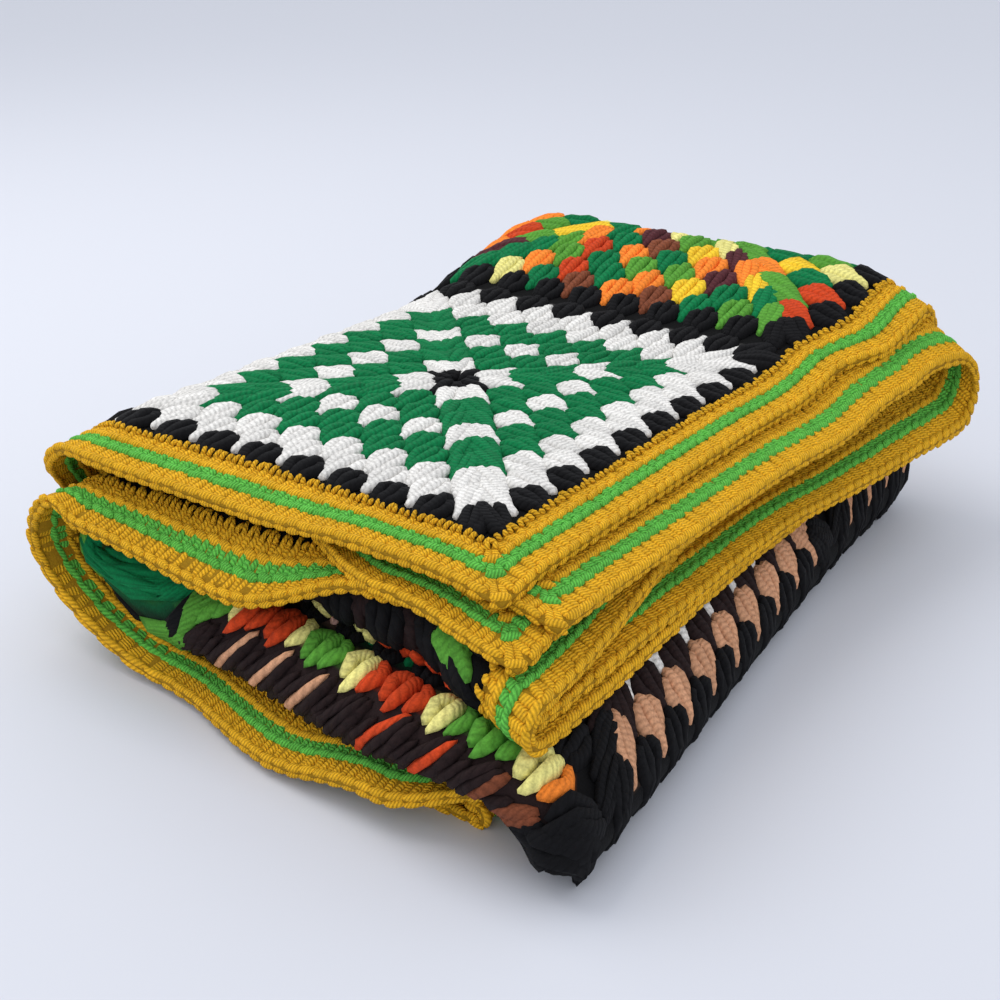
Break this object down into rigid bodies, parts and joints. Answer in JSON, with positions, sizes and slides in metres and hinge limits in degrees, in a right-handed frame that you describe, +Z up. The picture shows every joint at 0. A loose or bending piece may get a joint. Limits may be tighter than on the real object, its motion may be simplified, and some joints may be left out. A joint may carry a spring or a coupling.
{
  "type": "blanket",
  "caption": "Crocheted granny square blanket in bright scrap yarn with black joins and a mustard and lime edging, folded into a thick bundle.",
  "frame": {"origin": "under the middle of the folded bundle's bounding box, on the surface it rests on", "axes": "+Z up; +Y along the bundle's long side, from the side with the near fold and the near borders to the side with the back folds; +X along its short side, from the rounded left end to the free right edges"},
  "size_m": [0.3376, 0.4366, 0.1403],
  "materials": {
    "granny_squares": "matte",
    "edging_yarn": "matte"
  },
  "bodies": {
    "root": {"joined_squares": "granny_squares", "edging": "edging_yarn"}
  },
  "joints": []
}
